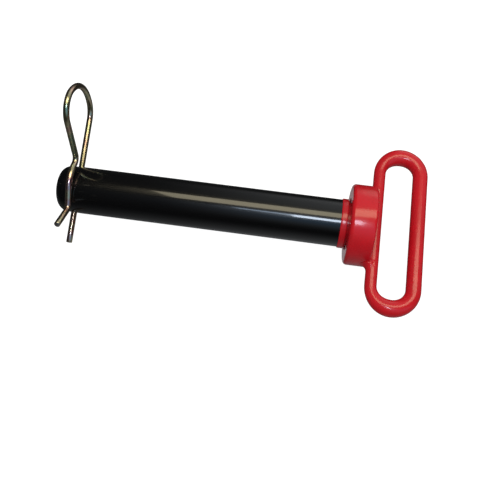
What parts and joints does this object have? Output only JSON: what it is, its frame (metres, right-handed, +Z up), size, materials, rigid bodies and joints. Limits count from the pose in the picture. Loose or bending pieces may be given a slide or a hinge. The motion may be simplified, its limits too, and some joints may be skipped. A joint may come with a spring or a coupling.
{
  "type": "hitch pin lock",
  "caption": "Drawbar hitch pin with a swivelling loop handle at one end and a sprung wire clip through a cross hole in its nose.",
  "frame": {"origin": "on the shank's axis, in the plane of the hub's seat face, which bears on the drawbar", "axes": "+X along the shank from the nose towards the handle, +Y along the handle loop's long side, +Z up as the pin lies with its loop flat"},
  "size_m": [0.2481, 0.1202, 0.0849],
  "materials": {
    "black_enamel": "gloss black",
    "red_enamel": "gloss red",
    "yellow_zinc": "bright yellow zinc plate",
    "bare_steel": "turned"
  },
  "bodies": {
    "pin": {"shank": "black_enamel", "thrust_collar": "red_enamel", "thrust_washer": "bare_steel"},
    "handle": {"hub": "red_enamel", "handle_loop": "red_enamel", "weld_beads": "red_enamel"},
    "clip": {"clip_leg": "yellow_zinc"},
    "clip_arm": {"clip_spring_leg": "yellow_zinc"}
  },
  "joints": [
    {"name": "handle_swivel", "type": "hinge", "parent": "pin", "child": "handle", "pos_m": [0.0035, 0, 0], "axis": [1, 0, 0], "continuous": true},
    {"name": "clip_pull", "type": "slide", "parent": "pin", "child": "clip", "axis": [0, 0.9711, 0.2385], "range_m": [0, 0.08]},
    {"name": "clip_flex", "type": "hinge", "parent": "clip", "child": "clip_arm", "pos_m": [-0.1854, 0.05742, 0.03596], "axis": [-1, 0, 0], "range_deg": [0, 6], "stiffness_Nm_per_rad": 2, "deforming": ["clip_spring_leg"]}
  ]
}
